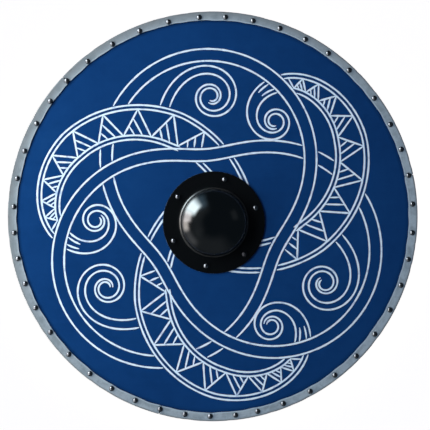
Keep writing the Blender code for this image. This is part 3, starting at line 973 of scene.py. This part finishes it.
def makeBoss():
    section = bossSection()
    points, faces = spun(section, bossMiddle, boss["steps"])
    away = np.linalg.norm(points[:, :2] - bossMiddle, axis=1)
    turn = np.arctan2(points[:, 1] - bossMiddle[1], points[:, 0] - bossMiddle[0])
    radius = (bossHigh.x - bossLow.x) / 2
    outward = unit((away - boss["waveFrom"]) / (radius - boss["waveFrom"]))
    points[:, 2] += boss["flangeWave"] * outward * (1 + wander(turn, 3, (2, 3, 5), 0.9))
    foot = boss["crownDiameter"] / 2
    marks = {
        "edge": unit(1 - (radius - away) / boss["wearWidth"]),
        "crease": softly(away, foot - 0.0002, foot + boss["creaseWidth"], boss["creaseSoft"]),
        "dome": softly(away, -1.0, foot + boss["metalTo"], boss["metalSoft"]),
    }
    piece = makePiece("domedBoss", points, faces, [bossFinish], None, 50.0, None, marks)
    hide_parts("boss")
    return piece


domedBoss = makeBoss()


# Nails: a low dome on a square shank whose clipped tip shows at the back

nail = {
    "rings": 6,
    "steps": 20,
    "headRadius": 0.0040,
    "headHeight": 0.0026,
    "screwRadius": 0.00425,
    "screwHeight": 0.0030,
    "shank": 0.0024,
    "tipTaper": 0.0006,
    "under": 0.00015,
    "sunk": 0.0005,
    "tilt": 5.0,
    # The nail painted darker and made matt: painted shade
    "shadeDarkenedNodes": ("boss_nail_06",),
}


def nailShape(headRadius, headHeight, shankLength):
    # The head's underside is at level 0: r = R sin t, z = H cos t. The shank is square with a blunt tip.
    t = np.radians(np.linspace(0, 90, nail["rings"] + 1))
    dome = np.column_stack([headRadius * np.sin(t), headHeight * np.cos(t)])
    dome = np.concatenate([dome, [[headRadius * 0.93, -nail["under"]], [0.0, -nail["under"]]]])
    head = spun(dome, (0.0, 0.0), nail["steps"])
    square = np.array([[-1, -1], [1, -1], [1, 1], [-1, 1]]) * nail["shank"] / 2
    levels = [(0.0, nail["sunk"]), (1.0, nail["sunk"]), (1.0, nail["tipTaper"] - shankLength),
              (0.6, -shankLength), (0.0, -shankLength)]
    bar = np.concatenate([atLevel(square * size, z) for size, z in levels])
    return joined([head, (bar, gridFaces(len(levels), 4, aroundColumns=True))])


def makeNails(name, nodes, kind, seed):
    # One shape set at every node's place, each turned with its node and leaning a little its own way
    boxes = [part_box(node) for node in nodes]
    spots = np.array([middleOf(node) for node in nodes])
    low, high = boxes[0]
    headRadius, headHeight = nail[kind + "Radius"], nail[kind + "Height"]
    upsideDown = kind == "screw"
    seat = low.z + headHeight if upsideDown else high.z - headHeight
    shankLength = high.z - seat if upsideDown else seat - low.z
    points, faces = nailShape(headRadius, headHeight, shankLength)
    dice = np.random.default_rng(seed)
    turn = np.arctan2(spots[:, 1], spots[:, 0])
    leanTo = dice.uniform(0, 2 * np.pi, len(nodes))
    lean = np.radians(dice.uniform(0, nail["tilt"], len(nodes)))
    x, y, z = points.T
    c, s = np.cos(turn)[:, None], np.sin(turn)[:, None]
    px, py = x * c - y * s, x * s + y * c
    # Only the dome leans: its level rises with the distance along the lean
    rise = (px * np.cos(leanTo)[:, None] + py * np.sin(leanTo)[:, None]) * np.tan(lean)[:, None]
    pz = z + rise * (np.hypot(x, y) > nail["shank"]) * unit(z / headHeight)
    if upsideDown:
        py, pz = -py, -pz
    points = np.stack([spots[:, :1] + px, spots[:, 1:] + py, seat + pz], axis=-1).reshape(-1, 3)
    many = [[v + k * len(x) for v in f] for k in range(len(nodes)) for f in faces]
    # The marked nail gets painted shade: a darker colour, and a matt finish
    shadeDarkened = np.repeat(np.isin(nodes, nail["shadeDarkenedNodes"]).astype(float), len(x))
    piece = makePiece(name, points, many, [nailFinish], None, 45.0, None, {"shadeDarkened": shadeDarkened})
    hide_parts(*nodes)
    return piece


rimNails = makeNails("rimNails", rimNailNodes, "head", 7)
bossNails = makeNails("bossNails", bossNailNodes, "head", 8)
gripScrews = makeNails("gripScrews", screwNodes, "screw", 9)


# The grip bar: a waist for the hand, wide shoulders, and thin screwed tabs at the ends

grip = {
    "handWidth": 0.032,
    "handLength": 0.070,
    "shoulderWidth": 0.046,
    "shoulderAt": 0.0657,
    "endWidth": 0.030,
    "tabLength": 0.034,
    "tabThickness": 0.008,
    "tabRamp": 0.007,
    "endRounding": 0.0020,
    "stations": 180,
    "around": 48,
    "handRounding": 0.0068,
    "boardRounding": 0.0022,
}


def makeGrip():
    # Each station along Y is a rounded rectangle, with wide arcs at the hand and small ones at the board
    low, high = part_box("grip_bar")
    half = (high.y - low.y) / 2
    v = np.linspace(-1, 1, grip["stations"])
    y = half * np.sin(v * np.pi / 2) * 0.5 + half * v * 0.5
    stops = [0, grip["handLength"] / 2, grip["shoulderAt"], half]
    widths = np.array([grip["handWidth"], grip["handWidth"], grip["shoulderWidth"], grip["endWidth"]])
    spot = np.interp(np.abs(y), stops, [0, 1, 2, 3])
    before = np.clip(spot.astype(int), 0, 2)
    blend = smooth(spot - before)
    width = widths[before] * (1 - blend) + widths[before + 1] * blend
    rise = smooth((np.abs(y) - (half - grip["tabLength"] - grip["tabRamp"])) / grip["tabRamp"])
    bottom = low.z + (high.z - low.z - grip["tabThickness"]) * rise
    ends = unit((half - np.abs(y)) / grip["endRounding"])
    pinch = np.sqrt(unit(1 - (1 - ends) ** 2)) * grip["endRounding"] - grip["endRounding"]

    a = np.linspace(0, 2 * np.pi, grip["around"] + 1)[None]
    wide = (width / 2 + pinch)[:, None]
    tall = ((high.z - bottom) / 2 + pinch)[:, None]
    middleZ = ((high.z + bottom) / 2)[:, None]
    lower = np.sin(a) < 0
    soft = np.where(lower, grip["handRounding"], grip["boardRounding"])
    soft = np.minimum(soft, np.minimum(wide, tall) * 0.95)
    # A rounded rectangle: the corner arc moved out by the straight part of each side
    x = np.sign(np.cos(a)) * (wide - soft) * (np.abs(np.cos(a)) > 1e-9) + soft * np.cos(a)
    z = np.sign(np.sin(a)) * (tall - soft) * (np.abs(np.sin(a)) > 1e-9) + soft * np.sin(a)
    y = np.broadcast_to(bossMiddle[1] + y[:, None], x.shape)
    points = np.stack([bossMiddle[0] + x, y, middleZ + z], axis=-1)
    rows, columns = points.shape[:2]
    caps = [np.broadcast_to(points[k].mean(axis=0), (1, columns, 3)) for k in (0, -1)]
    points = np.concatenate([caps[0], points, caps[1]])
    hand = unit(1.4 - np.abs(points[..., 1] - bossMiddle[1]) / (grip["handLength"] / 2))
    faces = gridFaces(rows + 2, columns)
    marks = {"handled": hand.ravel()}
    piece = makePiece("gripBar", points.reshape(-1, 3), faces, [gripFinish], None, 60.0, None, marks)
    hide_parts("grip_bar")
    return piece


gripBar = makeGrip()

for piece in [roundBoard, *rimPieces, domedBoss, rimNails, bossNails, gripScrews, gripBar]:
    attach(piece, "root")
print("pieces made")


# Floor, lights and camera

studio = {
    "floorHalf": 16.0,
    "floorColour": (0.80, 0.80, 0.80),
    "floorGlow": 0.90,
    "floorFleck": 0.02,
    "wallAway": 1.9,
    "wallStep": 0.1,
    "wallLow": -3.0,
    "wallTop": 90.0,
    "wallRows": 90,
    "wallColumns": 300,
    "glossAir": (0.003, 0.012, 0.022),
    "nailAir": (0.072, 0.108, 0.148),
    "softAir": (0.188, 0.236, 0.286),
    "keyAzimuth": 167.0,
    "keyAway": 1.05,
    "keyHeight": 0.54,
    "keyTarget": (0.0, 0.0, 0.03),
    "keySize": (2.4, 0.6),
    "keyPower": 43.0,
    "keyColour": (1.0, 1.0, 0.92),
    "topPlace": (0.0, 0.4, 2.6),
    "topSize": (2.4, 2.4),
    "topPower": 10.0,
    "topColour": (0.82, 0.76, 1.0),
    "airColour": (0.80, 0.92, 1.0),
    "airStrength": 0.03,
    "seenAir": (0.93, 0.93, 0.93),
    "cameraAway": 2.2,
    "sensor": 36.0,
    "photoPixel": 0.0014874,
    "photoMiddle": (212.67, 216.32),
    "photoSide": 430,
}


def makeFloor():
    half = studio["floorHalf"]
    mesh = bpy.data.meshes.new("paleFloor")
    corners = [(-half, -half, 0), (half, -half, 0), (half, half, 0), (-half, half, 0)]
    mesh.from_pydata(corners, [], [(0, 1, 2, 3)])
    finish, tree = newFinish("paleFloor", Roughness=0.9, Specular_IOR_Level=0.1,
                             Emission_Strength=studio["floorGlow"], Emission_Color=(1.0, 1.0, 1.0))
    paler = tuple(c + studio["floorFleck"] for c in studio["floorColour"])
    tone = ramp(noise(place(tree), 30.0, 3.0, 0.5), (0.3, studio["floorColour"]), (0.7, paler))
    mesh.materials.append(dress(finish, tone))
    floor = addObject("paleFloor", mesh)
    floor.visible_glossy = False


# Soft patches of light that are mirrored by the boss, by the nails and by the board, rim and grip.
# Azimuth from, to and soft edge, height angle from, to and soft edge, all in degrees, colour, strength.
glossPatches = [
    (130, 158, 19, 0, 34, 11, (0.84, 0.97, 1.00), 10.8),
    (112, 134, 20, 4, 40, 20, (0.45, 0.75, 1.00), 0.67),
    (157, 178, 7, 2, 25, 11, (1.00, 0.94, 0.93), 5.2),
    (176, 196, 12, 0, 17, 10, (1.00, 0.92, 0.86), 4.0),
    (192, 230, 18, 0, 20, 18, (0.96, 0.97, 1.00), 0.38),
    (110, 220, 30, 30, 58, 20, (0.90, 0.97, 1.00), 0.072),
    (205, 300, 40, -4, 48, 30, (0.90, 0.97, 1.00), 0.076),
    (8, 32, 12, 22, 38, 10, (0.90, 0.97, 1.00), 0.067),
]

nailPatches = [
    (128, 162, 20, 0, 40, 14, (0.90, 0.97, 1.00), 22.0),
    (140, 222, 30, -10, 58, 18, (1.00, 0.97, 0.97), 8.0),
    (205, 300, 40, -4, 48, 30, (0.90, 0.97, 1.00), 0.34),
]

softPatches = [
    (110, 262, 60, 5, 50, 30, (0.93, 0.97, 1.00), 0.30),
]


def grouped(name, pieces):
    group = bpy.data.collections.new(name)
    for piece in pieces:
        group.objects.link(piece)
    return group


def makeMirrorWall(name, reach, airGlow, patches, pieces):
    # A round wall that only the reflections on these pieces see, with a colour at every point
    azimuth = np.linspace(0, 360, studio["wallColumns"], endpoint=False)[None]
    height = np.linspace(studio["wallLow"], studio["wallTop"], studio["wallRows"])[:, None]
    a, h = np.radians(azimuth), np.radians(height)
    x = bossMiddle[0] + reach * np.cos(h) * np.cos(a)
    y = bossMiddle[1] + reach * np.cos(h) * np.sin(a)
    z = float(bossLow.z) + reach * np.sin(h) + 0.0 * a
    points = np.stack([x, y, z], axis=-1)
    glow = np.zeros((*points.shape[:2], 4)) + (*airGlow, 1.0)
    for start, end, softSide, low, high, softTop, colour, strength in patches:
        amount = softly(azimuth, start, end, softSide) * softly(height, low, high, softTop) * strength
        glow[..., :3] += amount[..., None] * colour
    mesh = bpy.data.meshes.new(name)
    faces = gridFaces(*points.shape[:2], aroundColumns=True)
    mesh.from_pydata(points.reshape(-1, 3).tolist(), [], faces.tolist())
    layer = mesh.attributes.new("glow", "FLOAT_COLOR", "POINT")
    layer.data.foreach_set("color", glow.astype(np.float32).ravel())
    finish = bpy.data.materials.new(name)
    finish.use_nodes = True
    tree = finish.node_tree
    tree.nodes.clear()
    lit = fedNode("ShaderNodeEmission", {"Color": mark(tree, "glow", "Color")})["Emission"]
    clear = tree.nodes.new("ShaderNodeBsdfTransparent").outputs["BSDF"]
    both = fedNode("ShaderNodeAddShader", {0: lit, 1: clear})["Shader"]
    fedNode("ShaderNodeOutputMaterial", {"Surface": both})
    mesh.materials.append(finish)
    wall = addObject(name, mesh)
    wall.visible_camera = False
    wall.visible_diffuse = False
    wall.visible_shadow = False
    wall.light_linking.receiver_collection = grouped(name + "Pieces", pieces)


def makeLight(name, size, power, colour, spot, target):
    lamp = bpy.data.lights.new(name, "AREA")
    lamp.shape = "RECTANGLE"
    lamp.size, lamp.size_y = size
    lamp.energy = power
    lamp.color = colour
    light = addObject(name, lamp)
    light.location = spot
    light.rotation_euler = (Vector(target) - Vector(spot)).to_track_quat("-Z", "Y").to_euler()
    light.visible_camera = False
    light.visible_glossy = False
    return light


def makeLights():
    turn, away = math.radians(studio["keyAzimuth"]), studio["keyAway"]
    x, y = bossMiddle + [away * math.cos(turn), away * math.sin(turn)]
    side = makeLight("sideSoftbox", studio["keySize"], studio["keyPower"], studio["keyColour"],
                     (x, y, studio["keyHeight"]), studio["keyTarget"])
    side.light_linking.receiver_collection = everyPiece
    makeLight("topSoftbox", studio["topSize"], studio["topPower"], studio["topColour"],
              studio["topPlace"], (0, 0, 0))
    world = bpy.data.worlds.new("studioAir")
    bpy.context.scene.world = world
    world.use_nodes = True
    tree = world.node_tree
    air = tree.nodes["Background"]
    feed(air.inputs["Color"], studio["airColour"])
    feed(air.inputs["Strength"], studio["airStrength"])
    seen = tree.nodes.new("ShaderNodeBackground")
    feed(seen.inputs["Color"], studio["seenAir"])
    path = tree.nodes.new("ShaderNodeLightPath").outputs["Is Camera Ray"]
    skies = {0: path, 1: air.outputs["Background"], 2: seen.outputs["Background"]}
    feed(tree.nodes["World Output"].inputs["Surface"], fedNode("ShaderNodeMixShader", skies)["Shader"])


def makeCamera():
    # The photo's middle is a few pixels from the shield's, so the camera stands that far to the side
    pixel, side = studio["photoPixel"], studio["photoSide"]
    camera = addObject("photoCamera", bpy.data.cameras.new("photoCamera"))
    x = (side / 2 - studio["photoMiddle"][0]) * pixel
    y = (studio["photoMiddle"][1] - side / 2) * pixel
    camera.location = (x, y, float(rimHigh[2]) + studio["cameraAway"])
    camera.data.sensor_width = studio["sensor"]
    camera.data.lens = studio["sensor"] * studio["cameraAway"] / (side * pixel)
    bpy.context.scene.camera = camera


makeFloor()
nails = [rimNails, bossNails, gripScrews]
dull = [roundBoard, *rimPieces, gripBar]
everyPiece = grouped("shieldPieces", [domedBoss, *nails, *dull])
makeMirrorWall("glossWall", studio["wallAway"], studio["glossAir"], glossPatches, [domedBoss])
makeMirrorWall("nailWall", studio["wallAway"] + studio["wallStep"], studio["nailAir"], nailPatches, nails)
makeMirrorWall("softWall", studio["wallAway"] + 2 * studio["wallStep"], studio["softAir"], softPatches, dull)
makeLights()
makeCamera()
bpy.context.scene.view_settings.view_transform = "Standard"
print("studio made")
